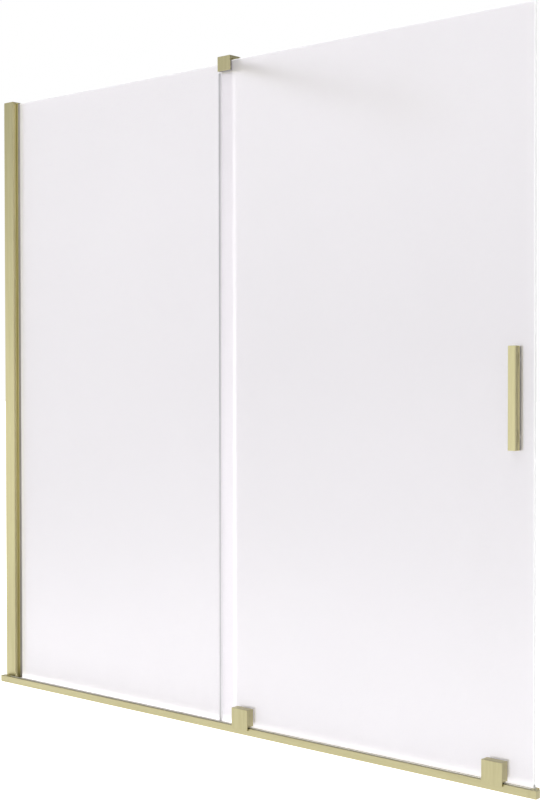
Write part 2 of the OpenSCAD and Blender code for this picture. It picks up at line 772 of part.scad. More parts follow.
// front bar of the handle with the narrow neck behind it
module handle_bar() {
    y0 = slide_front - 0.6 - handle_base_d - handle_groove_d - handle_bar_d;
    y1 = y0 + handle_bar_d;
    z0 = handle_z - handle_l / 2;
    z1 = handle_z + handle_l / 2;
    placed() color(gold) difference() {
        union() {
            eased_box(handle_x - handle_w / 2, handle_x + handle_w / 2, y0, y1, z0, z1, 1.1);
            box(handle_x - handle_w / 2 + handle_neck_in, handle_x + handle_w / 2 - handle_neck_in,
                y1 - 0.5, y1 + handle_groove_d, z0 + 1.2, z1 - 1.2);
        }
        for (s = [-1, 1]) {
            box(handle_x - 9, handle_x + 9, y1, y1 + handle_groove_d + 1,
                handle_z + s * handle_pitch / 2 - 12, handle_z + s * handle_pitch / 2 + 12);
            rod_y(handle_x, handle_z + s * handle_pitch / 2, y0 + 2.5, y1 + 1, 2.55);
        }
    }
}

// base of the handle on the front of the glass
module handle_base() {
    y0 = slide_front - 0.6 - handle_base_d;
    placed() color(gold) difference() {
        eased_box(handle_x - handle_w / 2, handle_x + handle_w / 2, y0, slide_front - 0.6,
            handle_z - handle_l / 2, handle_z + handle_l / 2, 0.5);
        for (s = [-1, 1])
            rod_y(handle_x, handle_z + s * handle_pitch / 2, y0 - 1, slide_front + 1, 2.6);
    }
}

// round spacers between the handle's bar and its base
module handle_spacers() {
    y1 = slide_front - 0.6 - handle_base_d;
    placed() color(gold) for (s = [-1, 1]) {
        difference() {
            rod_y(handle_x, handle_z + s * handle_pitch / 2, y1 - handle_groove_d, y1, 3.5);
            rod_y(handle_x, handle_z + s * handle_pitch / 2, y1 - 4, y1 + 1, 2.6);
        }
    }
}

// flat plate of the handle behind the glass
module handle_back_plate() {
    y0 = slide_back + 0.6;
    placed() color(gold) difference() {
        eased_box(handle_x - handle_w / 2, handle_x + handle_w / 2, y0, y0 + handle_plate_t,
            handle_z - handle_l / 2, handle_z + handle_l / 2, 0.8);
        for (s = [-1, 1])
            flush_hole_y(handle_x, handle_z + s * handle_pitch / 2, y0, y0 + handle_plate_t,
                2.6, 4.5);
    }
}

// soft strips between the handle and the glass
module handle_pads() {
    placed() color(nylon) for (y = [slide_front - 0.6, slide_back]) {
        difference() {
            box(handle_x - handle_w / 2 + 1, handle_x + handle_w / 2 - 1, y, y + 0.6,
                handle_z - handle_l / 2 + 1, handle_z + handle_l / 2 - 1);
            for (s = [-1, 1])
                rod_y(handle_x, handle_z + s * handle_pitch / 2, y - 1, y + 2, 3);
        }
    }
}

// screws through the glass that join both parts of the handle
module handle_screws() {
    y1 = slide_back + 0.6 + handle_plate_t;
    placed() color(steel) for (s = [-1, 1])
        flush_screw_y(handle_x, handle_z + s * handle_pitch / 2, 3, y1, 2.5, 4.4);
}

// sleeves around the handle screws in the glass
module handle_bushes() {
    placed() color(nylon) for (s = [-1, 1]) {
        difference() {
            rod_y(handle_x, handle_z + s * handle_pitch / 2, slide_front, slide_back, 4.9);
            rod_y(handle_x, handle_z + s * handle_pitch / 2, slide_front - 1, slide_back + 1, 2.6);
        }
    }
}

sill_channel();
sill_gaskets();
sill_filler();
setting_blocks();
rail_track();
running_strip();
rail_screws();
rail_wall_block();
rail_end_cap();
opening_stop();
closing_stop();
wall_channel();
wall_channel_cap();
glass_profile();
glass_profile_gaskets();
locking_screws();
fixed_glass();
guide_body();
guide_glides();
guide_gaskets();
guide_bush();
guide_clamp_plate();
guide_screws();
support_bar();
bar_grub_screws();
wall_flange();
sliding_glass();
meeting_seal();
bottom_seal();
carriage_cover(carriage_xs[0]);  // carriage_cover_left
carriage_cover(carriage_xs[1]);  // carriage_cover_right
carriage_body(carriage_xs[0]);  // carriage_body_left
carriage_body(carriage_xs[1]);  // carriage_body_right
carriage_back_plate(carriage_xs[0]);  // carriage_back_plate_left
carriage_back_plate(carriage_xs[1]);  // carriage_back_plate_right
carriage_pads();
carriage_screws();
carriage_bushes();
roller_axle(carriage_xs[0]);  // roller_axle_left
roller_axle(carriage_xs[1]);  // roller_axle_right
axle_spacers();
roller_tyre(carriage_xs[0]);  // roller_tyre_left
roller_tyre(carriage_xs[1]);  // roller_tyre_right
roller_flanges(carriage_xs[0]);  // roller_flanges_left
roller_flanges(carriage_xs[1]);  // roller_flanges_right
roller_bearing(carriage_xs[0]);  // roller_bearing_left
roller_bearing(carriage_xs[1]);  // roller_bearing_right
handle_bar();
handle_base();
handle_spacers();
handle_back_plate();
handle_pads();
handle_screws();
handle_bushes();
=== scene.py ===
import math

import bpy
import numpy as np
from mathutils import Matrix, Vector
from mathutils.geometry import tessellate_polygon


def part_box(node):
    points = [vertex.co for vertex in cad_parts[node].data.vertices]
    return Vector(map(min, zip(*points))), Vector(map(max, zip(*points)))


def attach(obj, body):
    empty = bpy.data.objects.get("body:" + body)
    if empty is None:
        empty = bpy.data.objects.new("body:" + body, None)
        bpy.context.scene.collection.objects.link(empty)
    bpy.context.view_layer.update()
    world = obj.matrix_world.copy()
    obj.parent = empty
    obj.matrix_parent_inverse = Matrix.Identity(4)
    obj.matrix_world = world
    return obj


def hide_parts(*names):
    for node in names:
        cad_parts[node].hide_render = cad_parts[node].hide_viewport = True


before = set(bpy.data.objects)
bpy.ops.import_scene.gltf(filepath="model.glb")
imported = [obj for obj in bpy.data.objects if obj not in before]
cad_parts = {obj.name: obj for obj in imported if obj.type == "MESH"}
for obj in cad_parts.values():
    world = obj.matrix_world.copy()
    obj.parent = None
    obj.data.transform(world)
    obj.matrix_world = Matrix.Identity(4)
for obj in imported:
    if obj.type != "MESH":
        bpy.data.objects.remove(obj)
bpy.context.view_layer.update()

# Lengths are in millimetres in the CAD frame until a mesh is made of them
MM = 0.001
# Steps in a quarter-round rim, and points around a round outline and around a bored hole
RIM_STEPS = 3
ROUND = 48
BORE_ROUND = 32


# Outlines

def span(node):
    """Lowest and highest corner of a CAD node, in millimetres."""
    low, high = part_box(node)
    return np.array(low) / MM, np.array(high) / MM


def middle(node):
    """Middle of a CAD node's box, in millimetres."""
    low, high = span(node)
    return (low + high) / 2


def counter_clockwise(outline):
    """The outline, turned round where its signed area (half the sum of x dy - y dx) is negative."""
    p = np.asarray(outline, float)
    q = np.roll(p, -1, axis=0)
    area = (p[:, 0] * q[:, 1] - q[:, 0] * p[:, 1]).sum()
    return p if area > 0 else p[::-1]


def rounded(corners, radius, steps=4):
    """Closed outline with an arc at each corner. A and B are the points where the arc of a corner P
    touches its edges, w is the sine of half the inner angle, and the arc is the rational curve
    ((1-s)^2 A + 2 w s (1-s) P + s^2 B) / ((1-s)^2 + 2 w s (1-s) + s^2) for s from 0 to 1."""
    p = counter_clockwise(corners)
    back = np.roll(p, 1, axis=0) - p
    ahead = np.roll(p, -1, axis=0) - p
    back /= np.linalg.norm(back, axis=1)[:, None]
    ahead /= np.linalg.norm(ahead, axis=1)[:, None]
    half = np.arccos(np.clip((back * ahead).sum(axis=1), -1, 1)) / 2
    reach = (radius / np.tan(half))[:, None]
    a, b, p = (p + back * reach)[:, None], (p + ahead * reach)[:, None], p[:, None]
    s = np.linspace(0, 1, steps + 1)[None, :, None]
    w = np.sin(half)[:, None, None]
    pull = 2 * w * s * (1 - s)
    arc = ((1 - s) ** 2 * a + pull * p + s ** 2 * b) / ((1 - s) ** 2 + pull + s ** 2)
    return arc.reshape(-1, 2)


def rectangle(u0, u1, v0, v1, radius, steps=4):
    """Rectangle between two corners, with rounded corners."""
    return rounded([(u0, v0), (u1, v0), (u1, v1), (u0, v1)], radius, steps)


def square(centre, half, radius):
    """Square around a centre, with rounded corners."""
    u, v = centre
    return rectangle(u - half, u + half, v - half, v + half, radius)


def section(node, axis, radius, steps=4):
    """Rounded rectangle around a CAD node, as seen along an axis."""
    low, high = span(node)
    u, v = {"x": (1, 2), "y": (0, 2), "z": (0, 1)}[axis]
    return rectangle(low[u], high[u], low[v], high[v], radius, steps)


def circle(centre, radius, n=ROUND):
    """Circle of n points: centre + radius (cos t, sin t)."""
    t = np.arange(n) * 2 * np.pi / n
    return np.asarray(centre) + radius * np.stack([np.cos(t), np.sin(t)], axis=1)


def hexagon(centre, apothem, n=ROUND):
    """Hexagon with as many points as a circle: at angle t its radius is the apothem divided by the
    cosine of t's distance from the middle of its side."""
    t = np.arange(n) * 2 * np.pi / n
    r = apothem / np.cos((t + np.pi / 6) % (np.pi / 3) - np.pi / 6)
    return np.asarray(centre) + r[:, None] * np.stack([np.cos(t), np.sin(t)], axis=1)


def inward(outline):
    """Mitred inward step of each corner: the sum of its two edges' inward normals, divided by
    1 + their dot product, so that both edges move by one unit."""
    edge = np.roll(outline, -1, axis=0) - outline
    edge /= np.linalg.norm(edge, axis=1)[:, None]
    normal = np.stack([-edge[:, 1], edge[:, 0]], axis=1)
    before = np.roll(normal, 1, axis=0)
    return (before + normal) / (1 + (before * normal).sum(axis=1))[:, None]


# Surfaces: a shell is its points and its faces, as arrays of point numbers with one face in a row

def stood_up(plane, place, axis):
    """Puts points of a plane at a place along an axis: (y, z) along x, (x, z) along y, (x, y) along z."""
    place = np.broadcast_to(np.reshape(place, (-1, 1)), plane.shape[:2])
    u, v = plane[..., 0], plane[..., 1]
    order = {"x": (place, u, v), "y": (u, place, v), "z": (u, v, place)}[axis]
    return np.stack(order, axis=-1)


def skin(rings, axis, closed=True):
    """Shell over a stack of rings (k, n, 3): quads between ring k and ring k + 1, and one flat face
    over the first and the last ring where it is closed. Rings along y wind the other way round."""
    k, n = rings.shape[:2]
    here = np.arange(k * n).reshape(k, n)
    there = np.roll(here, -1, axis=1)
    faces = [np.stack([here[:-1], there[:-1], there[1:], here[1:]], axis=-1).reshape(-1, 4)]
    if closed:
        faces += [here[:1, ::-1], here[-1:]]
    if axis == "y":
        faces = [f[:, ::-1] for f in faces]
    return rings.reshape(-1, 3), faces


def eased(start, end, ease, steps=RIM_STEPS):
    """Places and insets of a quarter-round rim at both ends: at angle a a ring lies ease (1 - cos a)
    from the end and is drawn in by ease (1 - sin a)."""
    a = np.linspace(0, np.pi / 2, steps + 1)
    inset, step = ease * (1 - np.sin(a)), ease * (1 - np.cos(a))
    return np.concatenate([start + step, (end - step)[::-1]]), np.concatenate([inset, inset[::-1]])


def bar(outline, axis, start, end, ease):
    """Outline carried straight along an axis, with a quarter-round rim at both ends."""
    outline = counter_clockwise(outline)
    place, inset = eased(start, end, ease)
    plane = outline[None] + inset[:, None, None] * inward(outline)[None]
    return skin(stood_up(plane, place, axis), axis)


def block(node, axis, radius, ease):
    """Block that fills a CAD node's box, rounded along an axis and eased at both ends."""
    low, high = span(node)
    k = "xyz".index(axis)
    return bar(section(node, axis, radius), axis, low[k], high[k], ease)


def pin(centre, radius, start, end):
    """Plain round pin along y."""
    rings = np.stack([circle(centre, radius)] * 2)
    return skin(stood_up(rings, (start, end), "y"), "y")


def socket_screw(centre, start, face, shank, head, depth):
    """Countersunk screw along y whose flat head ends at face: the shank, the cone of the head, the
    head's rim, and a six-sided socket, all as rings with the same number of points."""
    point, rim, ease = 0.5, 0.3, 0.25
    mouth, floor = shank * 0.62, shank * 0.58
    places = [start, start + point, face - (head - shank), face - rim, face, face, face - depth]
    rings = [circle(centre, r) for r in (shank - point, shank, shank, head, head - ease)]
    rings += [hexagon(centre, apothem) for apothem in (mouth, floor)]
    return skin(stood_up(np.stack(rings), places, "y"), "y")


def pierced(outline, holes, levels):
    """Plate along y with round holes. Each level is a place along y, how far the outline's ring is
    drawn in there, and how far each hole's ring is widened. Triangles around the holes fill the front
    and the back. The number of side faces comes last."""
    outline = counter_clockwise(outline)
    places, insets, widths = np.array(levels, float).T
    around = circle((0, 0), 1, BORE_ROUND)[::-1]
    stacks = [outline[None] + insets[:, None, None] * inward(outline)[None]]
    stacks += [np.asarray(centre) + (radius + widths)[:, None, None] * around[None]
               for centre, radius in holes]
    base, points, faces, front, back = 0, [], [], [], []
    for stack in stacks:
        ring_points, walls = skin(stood_up(stack, places, "y"), "y", closed=False)
        number = base + np.arange(len(ring_points)).reshape(stack.shape[:2])
        front.append((stack[0], number[0]))
        back.append((stack[-1], number[-1]))
        points.append(ring_points)
        faces += [f + base for f in walls]
        base += len(ring_points)
    sides = sum(len(f) for f in faces)
    for loops, up in ((front, True), (back, False)):
        flat = np.concatenate([p for p, _ in loops])
        number = np.concatenate([i for _, i in loops])
        fill = np.array(tessellate_polygon([np.pad(p, ((0, 0), (0, 1))).tolist() for p, _ in loops]))
        a, b, c = (flat[fill[:, i]] for i in range(3))
        turn = np.cross(b - a, c - a) > 0
        fill[turn != up] = fill[turn != up][:, ::-1]
        faces.append(number[fill])
    return np.concatenate(points), faces, sides


def piece(name, shells, material, body, nodes=(), edge_material=None, painted_light_material=None, painted_light_axis=0,
          smooth=38):
    """One object of several closed shells, at the origin with its place in its mesh. It rides on a
    body, takes the finish of a slot, and stands for the CAD nodes named. The edge material goes on the
    shells' sides; a copy of the finish with light and shade painted into its colour goes on the faces
    whose normal lies nearly along the given axis (0 for X, 2 for Z). Edges sharper than the smooth angle
    in degrees stay sharp."""
    base, points, faces, is_side = 0, [], [], []
    for shell_points, shell_faces, *sides in shells:
        rows = [row for block_of_rows in shell_faces for row in (block_of_rows + base).tolist()]
        is_side.append(np.arange(len(rows)) < sum(sides))
        points.append(shell_points)
        faces += rows
        base += len(shell_points)
    mesh = bpy.data.meshes.new(name)
    mesh.from_pydata((np.concatenate(points) * MM).tolist(), [], faces)
    mesh.materials.append(material)
    mesh.update()
    if edge_material:
        mesh.materials.append(edge_material)
        mesh.polygons.foreach_set("material_index", np.concatenate(is_side).astype(np.int32))
    # Faces along the axis take a copy of the finish with light and shade painted into its colour
    if painted_light_material:
        nearly_along = 0.9
        normals = np.empty(len(faces) * 3, np.float32)
        mesh.polygons.foreach_get("normal", normals)
        mesh.materials.append(painted_light_material)
        is_painted_light_face = np.abs(normals.reshape(-1, 3)[:, painted_light_axis]) > nearly_along
        mesh.polygons.foreach_set("material_index", is_painted_light_face.astype(np.int32))
    mesh.shade_smooth()
    mesh.set_sharp_from_angle(angle=math.radians(smooth))
    obj = bpy.data.objects.new(name, mesh)
    bpy.context.scene.collection.objects.link(obj)
    obj.modifiers.new("flat faces stay flat", "WEIGHTED_NORMAL").keep_sharp = True
    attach(obj, body)
    if nodes:
        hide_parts(*nodes)
    return obj


# Nodes of a material

FLOAT, VECTOR, COLOUR = "NodeSocketFloat", "NodeSocketVector", "NodeSocketColor"


def put(tree, kind, inputs=None, **settings):
    """Adds a node. An input is a plain value or another node's output."""
    node = tree.nodes.new(kind)
    for key, value in settings.items():
        setattr(node, key, value)
    for key, value in (inputs or {}).items():
        if isinstance(value, bpy.types.NodeSocket):
            tree.links.new(value, node.inputs[key])
        else:
            node.inputs[key].default_value = value
    return node


def here_in(tree):
    """Place on the piece, in Object coordinates."""
    return put(tree, "ShaderNodeTexCoord").outputs["Object"]


def split(tree, vector):
    """The X, Y and Z of a vector, as a node's named outputs."""
    return put(tree, "ShaderNodeSeparateXYZ", {"Vector": vector}).outputs


def sums(tree, operation, *values):
    """Result of a Math node on one to three values."""
    return put(tree, "ShaderNodeMath", dict(enumerate(values)), operation=operation).outputs[0]


def ramp(tree, value, start, end, low=0.0, high=1.0, smooth=False):
    """Value from low to high, and no further, while another goes from start to end."""
    return put(tree, "ShaderNodeMapRange",
               {"Value": value, "From Min": start, "From Max": end, "To Min": low, "To Max": high},
               interpolation_type="SMOOTHSTEP" if smooth else "LINEAR").outputs["Result"]


def noise(tree, place, scale, detail, **more):
    """Strength of a noise pattern at a place."""
    inputs = {"Vector": place, "Scale": scale, "Detail": detail, **more}
    return put(tree, "ShaderNodeTexNoise", inputs).outputs["Fac"]


def relief(tree, height, strength, distance):
    """Normal of a surface with a bump of some height, its distance in metres."""
    return put(tree, "ShaderNodeBump",
               {"Strength": strength, "Distance": distance, "Height": height}).outputs["Normal"]


def mixed_colour(tree, factor, first, second):
    """Colour between two others. A Mix node's colours are its inputs 6 and 7 and its output 2."""
    return put(tree, "ShaderNodeMix", {0: factor, 6: first, 7: second}, data_type="RGBA").outputs[2]


def grey_level(tree, value):
    """Colour with one value for red, green and blue."""
    return put(tree, "ShaderNodeCombineColor", {i: value for i in range(3)}).outputs["Color"]


def set_plain(node, values):
    """Sets a node's plain inputs by name, with _ for each space."""
    for key, value in values.items():
        node.inputs[key.replace("_", " ")].default_value = value


# Shader groups: effects that several materials share

def new_group(name, inputs, outputs):
    """Empty shader group with named sockets, its inputs, and a function that fills its outputs."""
    tree = bpy.data.node_groups.new(name, "ShaderNodeTree")
    for label, kind, value in inputs:
        tree.interface.new_socket(label, in_out="INPUT", socket_type=kind).default_value = value
    for label, kind in outputs:
        tree.interface.new_socket(label, in_out="OUTPUT", socket_type=kind)
    given = tree.nodes.new("NodeGroupInput").outputs
    out = tree.nodes.new("NodeGroupOutput").inputs

    def give(**results):
        for label, socket in results.items():
            tree.links.new(socket, out[label])

    return tree, given, give


def brushed_grain_group():
    """Fine and coarse noise stretched along the brushing, and slow smudges across it."""
    tree, given, give = new_group(
        "brushed grain",
        [("Fine", VECTOR, (1500, 1500, 40)), ("Coarse", VECTOR, (180, 180, 6)), ("Depth", FLOAT, 0.1)],
        [("Streaks", FLOAT), ("Smudge", FLOAT), ("Normal", VECTOR)])
    at = here_in(tree)

    def stretched(scale, detail):
        place = put(tree, "ShaderNodeVectorMath", {0: at, 1: scale}, operation="MULTIPLY")
        return noise(tree, place.outputs[0], 1.0, detail)

    fine, coarse = stretched(given["Fine"], 3.0), stretched(given["Coarse"], 2.0)
    streaks = put(tree, "ShaderNodeMix", {"Factor": 0.45, "A": fine, "B": coarse}).outputs["Result"]
    give(Streaks=streaks, Smudge=noise(tree, at, 9.0, 3.0, Roughness=0.6),
         Normal=relief(tree, streaks, given["Depth"], 0.0002))
    return tree


def fine_mottle_group():
    """Even grain of etched glass, rubber and moulded plastic: fine noise and a slow cloud."""
    tree, given, give = new_group(
        "fine mottle",
        [("Grain", FLOAT, 2200.0), ("Cloud", FLOAT, 5.0), ("Depth", FLOAT, 0.1)],
        [("Speck", FLOAT), ("Drift", FLOAT), ("Normal", VECTOR)])
    at = here_in(tree)
    speck = noise(tree, at, given["Grain"], 2.0)
    give(Speck=speck, Drift=noise(tree, at, given["Cloud"], 3.0),
         Normal=relief(tree, speck, given["Depth"], 0.0001))
    return tree


def painted_pane_glow_group():
    """Painted glow of a frosted pane, which stands in for light falling on it and lifts its shade: a
    little everywhere, more towards its top and beside its holder, most just above the rail, and a lit
    band with a painted bright line where the other pane and its edge lie behind it. Heights and widths
    are in metres."""
    tree, given, give = new_group(
        "painted pane glow",
        [("Overall", FLOAT, 0.02), ("Top", FLOAT, 0.03), ("Seat", FLOAT, 0.1), ("Band", FLOAT, 0.0),
         ("Line", FLOAT, 0.0), ("Band Start", FLOAT, 0.0), ("Band End", FLOAT, 0.0),
         ("Band Top", FLOAT, 1.0), ("Edge", FLOAT, 0.0), ("Edge Start", FLOAT, 0.0)],
        [("Light", COLOUR)])
    at = split(tree, here_in(tree))
    x, z = at["X"], at["Z"]

    def rise(value, low, high):
        return ramp(tree, value, low, high, smooth=True)

    def add(total, *factors):
        """Total plus the product of the factors."""
        product = factors[0]
        for factor in factors[1:-1]:
            product = sums(tree, "MULTIPLY", product, factor)
        return sums(tree, "MULTIPLY_ADD", product, factors[-1], total)

    def past(start):
        return sums(tree, "SUBTRACT", x, start)

    from_start, from_end = past(given["Band Start"]), past(given["Band End"])
    below_top = rise(sums(tree, "SUBTRACT", given["Band Top"], z), 0.0, 0.015)
    lower = rise(z, 1.6, 0.4)
    foot = add(rise(z, 0.034, 0.005), rise(z, 0.024, 0.014), 0.6)
    beside = rise(past(given["Edge Start"]), 0.012, 0.0)
    band = sums(tree, "MULTIPLY", rise(from_start, 0.0, 0.003), rise(from_end, 0.003, 0.0))
    line = sums(tree, "MULTIPLY", rise(from_end, -0.004, 0.0), rise(from_end, 0.0055, 0.0025))
    total = add(given["Overall"], rise(z, 0.70, 1.35), given["Top"])
    total = add(total, foot, given["Seat"])
    total = add(total, beside, given["Edge"], add(0.6, lower, 0.6))
    lit = add(0.0, band, lower, given["Band"])
    lit = add(lit, line, add(0.5, lower, 0.5), given["Line"])
    give(Light=grey_level(tree, add(total, lit, below_top)))
    return tree


def painted_light_by_height_group():
    """Light and shade painted into a colour by height: the colour times a factor that runs from the
    middle's to the top's between two heights, and times one that runs from 1 to the foot's between two
    others."""
    tree, given, give = new_group(
        "painted light by height",
        [("Colour", COLOUR, (1, 1, 1, 1)), ("Middle", FLOAT, 1.0), ("Top", FLOAT, 1.0),
         ("Top Start", FLOAT, 1.0), ("Top End", FLOAT, 1.37), ("Foot", FLOAT, 1.0),
         ("Foot Start", FLOAT, 0.4), ("Foot End", FLOAT, 0.1)],
        [("Colour", COLOUR)])
    z = split(tree, here_in(tree))["Z"]
    upper = ramp(tree, z, given["Top Start"], given["Top End"], given["Middle"], given["Top"])
    lower = ramp(tree, z, given["Foot Start"], given["Foot End"], 1.0, given["Foot"])
    toned = put(tree, "ShaderNodeVectorMath",
                {0: given["Colour"], "Scale": sums(tree, "MULTIPLY", upper, lower)}, operation="SCALE")
    give(Colour=toned.outputs[0])
    return tree


BRUSHED = brushed_grain_group()
MOTTLE = fine_mottle_group()
PAINTED_PANE_GLOW = painted_pane_glow_group()
PAINTED_LIGHT_BY_HEIGHT = painted_light_by_height_group()


# Materials

def new_material(name, **plain):
    """Material with a Principled shader whose plain values are set on its own sockets."""
    material = bpy.data.materials.new(name)
    material.use_nodes = True
    shader = material.node_tree.nodes["Principled BSDF"]
    set_plain(shader, plain)
    return material, material.node_tree, shader


def placed(tree, group, **values):
    """Outputs of a shader group placed in a material with its own values."""
    node = put(tree, "ShaderNodeGroup", node_tree=group)
    set_plain(node, values)
    return node.outputs


def spread(tree, value, low, high):
    """Maps a noise value, which mostly lies between 0.3 and 0.7, to the range from low to high."""
    return ramp(tree, value, 0.3, 0.7, low, high)


def two_tone(tree, value, tones):
    """Colour between a dark and a light tone, by a noise value."""
    dark, light = ((*tone, 1.0) for tone in tones)
    return mixed_colour(tree, spread(tree, value, 0.0, 1.0), dark, light)


def brushed_metal(name, tones, rough, brushing, depth=0.12):
    """Metal brushed along the direction in which its noise is stretched, and smoother in its darker
    streaks."""
    material, tree, shader = new_material(name, Metallic=1.0)
    fine, coarse = brushing
    grain = placed(tree, BRUSHED, Fine=fine, Coarse=coarse, Depth=depth)
    uneven = sums(tree, "MULTIPLY", grain["Streaks"], grain["Smudge"])
    tree.links.new(two_tone(tree, grain["Streaks"], tones), shader.inputs["Base Color"])
    tree.links.new(ramp(tree, uneven, 0.1, 0.45, rough - 0.05, rough + 0.07), shader.inputs["Roughness"])
    tree.links.new(grain["Normal"], shader.inputs["Normal"])
    return material


def with_painted_light_by_height(material, **levels):
    """The material with light and shade painted into its colour by height, by the factors and heights
    given.
    """
    tree = material.node_tree
    colour = tree.nodes["Principled BSDF"].inputs["Base Color"]
    tone = put(tree, "ShaderNodeGroup", {"Colour": colour.links[0].from_socket}, node_tree=PAINTED_LIGHT_BY_HEIGHT)
    set_plain(tone, levels)
    tree.links.new(tone.outputs["Colour"], colour)
    return material


def mottled(name, tones, rough, grain, cloud, depth, **plain):
    """Glass, rubber or plastic with an even fine grain and a slow drift of tone."""
    material, tree, shader = new_material(name, **plain)
    mottle = placed(tree, MOTTLE, Grain=grain, Cloud=cloud, Depth=depth)
    tree.links.new(two_tone(tree, mottle["Drift"], tones), shader.inputs["Base Color"])
    tree.links.new(spread(tree, mottle["Speck"], rough - 0.04, rough + 0.04), shader.inputs["Roughness"])
    tree.links.new(mottle["Normal"], shader.inputs["Normal"])
    return material


def frosted_glass(name, **light):
    """Etched glass with a painted glow in its emission, given by the sizes of its painted lit zones."""
    material = mottled(name, ((0.945, 0.92, 0.95), (0.96, 0.935, 0.965)), 0.31, 3000.0, 2.0, 0.2,
                       Transmission_Weight=0.78, IOR=1.5, Emission_Strength=1.0)
    tree = material.node_tree
    shader = tree.nodes["Principled BSDF"]
    tree.links.new(placed(tree, PAINTED_PANE_GLOW, **light)["Light"], shader.inputs["Emission Color"])
    return material


def bead_with_painted_glow(name, start, length):
    """Grey rubber with painted light: over a length in X from its start, which shifts a little with
    height, and slightly towards its foot, it is painted paler and glows."""
    material = mottled(name, ((0.48, 0.47, 0.49), (0.54, 0.53, 0.55)), 0.35, 700.0, 20.0, 0.08,
                       Transmission_Weight=0.3, IOR=1.4, Emission_Strength=0.18)
    pale, lean = (0.92, 0.91, 0.93, 1), -0.0018
    tree = material.node_tree
    shader = tree.nodes["Principled BSDF"]
    colour = shader.inputs["Base Color"]
    at = split(tree, here_in(tree))
    leaned = sums(tree, "MULTIPLY_ADD", at["Z"], lean, at["X"])
    across = ramp(tree, leaned, start, start + length, smooth=True)
    down = ramp(tree, at["Z"], 1.0, 0.1, 0.0, 0.3, smooth=True)
    painted_glow_share = sums(tree, "MAXIMUM", across, down)
    tree.links.new(mixed_colour(tree, painted_glow_share, colour.links[0].from_socket, pale), colour)
    tree.links.new(grey_level(tree, painted_glow_share), shader.inputs["Emission Color"])
    return material


GOLD = (0.525, 0.478, 0.270), (0.635, 0.587, 0.350)
# Lighter copy of the gold for the upright: painted light
GOLD_PAINTED_LIGHTER = (0.610, 0.560, 0.312), (0.720, 0.668, 0.395)
WHITE = (1, 1, 1, 1)
# Scales of the fine and the coarse noise of a brushed face, small along the brushing
FINE, LONG, MID, SLOW = 1400.0, 30.0, 160.0, 5.0
ALONG_RAIL = (LONG, FINE, FINE), (SLOW, MID, MID)
ALONG_BAR = (FINE, LONG, FINE), (MID, SLOW, MID)
UPWARDS = (FINE, FINE, LONG), (MID, MID, SLOW)
EVERY_WAY = (500.0, 500.0, 500.0), (60.0, 60.0, 60.0)

gold_along = brushed_metal("gold brushed along the rail", GOLD, 0.36, ALONG_RAIL)
gold_up = brushed_metal("gold brushed upwards", GOLD, 0.36, UPWARDS)
gold_out = brushed_metal("gold brushed along the bar", GOLD, 0.36, ALONG_BAR)
# Darker copy of the gold for faces along X: painted shade on the sides
gold_painted_side_shade = brushed_metal(
    "gold with painted shade for narrow sides", ((0.450, 0.410, 0.235), (0.535, 0.492, 0.292)), 0.38, UPWARDS)
# Darker copy of the gold for the rail's top and bottom faces: painted shade
gold_painted_top_shade = brushed_metal(
    "gold with painted shade for the rail's top", ((0.36, 0.325, 0.20), (0.44, 0.40, 0.245)), 0.40, ALONG_RAIL)
# The upright's front: the lighter gold, brightest in the middle, with painted shade towards its top and
# its foot
gold_post_painted_light = with_painted_light_by_height(
    brushed_metal("gold of the upright", GOLD_PAINTED_LIGHTER, 0.36, UPWARDS),
    Middle=1.09, Top=0.82, Top_Start=0.65, Foot=0.86, Foot_Start=0.42, Foot_End=0.08)
# The upright's sides: painted light and shade by height, a little darker than the front in the middle,
# darker towards the foot, lighter towards the top
gold_post_side_painted_light = with_painted_light_by_height(
    brushed_metal("gold of the upright's sides", GOLD_PAINTED_LIGHTER, 0.36, UPWARDS),
    Middle=1.02, Top=1.20, Top_Start=1.10, Foot=0.80, Foot_Start=0.50, Foot_End=0.20)
# Lighter copy of the upright's gold for the handle and its base: painted light
gold_handle_painted_lighter = brushed_metal(
    "gold of the handle", ((0.665, 0.610, 0.345), (0.785, 0.730, 0.430)), 0.36, UPWARDS)
# Darker copy for the handle's sides: painted shade
gold_handle_side_painted_shade = brushed_metal(
    "gold of the handle's sides", ((0.490, 0.450, 0.255), (0.585, 0.540, 0.320)), 0.38, UPWARDS)
# Darker copy of the gold for the bar's sides: painted shade
gold_bar_side_painted_shade = brushed_metal(
    "gold with painted shade for the bar's sides", ((0.40, 0.365, 0.21), (0.47, 0.43, 0.25)), 0.38, ALONG_BAR)
gold_inside = brushed_metal(
    "gold of hidden profiles", ((0.60, 0.53, 0.29), (0.68, 0.61, 0.35)), 0.45, ALONG_RAIL)
steel_plain = brushed_metal(
    "plain steel", ((0.55, 0.55, 0.56), (0.66, 0.66, 0.67)), 0.30, EVERY_WAY, depth=0.05)
pale_strip = brushed_metal(
    "pale running strip", ((0.86, 0.85, 0.80), (0.93, 0.92, 0.87)), 0.45, ALONG_RAIL, depth=0.05)

# Painted glow in the fixed pane: a little everywhere and towards its top, most just above the rail and in
# a strip beside its holder, where shade falls
frosted_still = frosted_glass(
    "frosted glass of the fixed pane", Overall=0.026, Top=0.010, Seat=0.16, Edge=0.125,
    Edge_Start=span("glass_profile_gaskets")[1][0] * MM)
# Painted glow in the sliding pane: a lit band, and a painted bright line where the fixed pane's edge lies
# behind it, both ending under the guide
frosted_sliding = frosted_glass(
    "frosted glass of the sliding pane", Overall=0.020, Top=0.020, Seat=0.18, Band=0.09, Line=0.13,
    Band_Start=span("sliding_glass")[0][0] * MM, Band_End=(span("fixed_glass")[1][0] + 12) * MM,
    Band_Top=span("guide_body")[0][2] * MM)
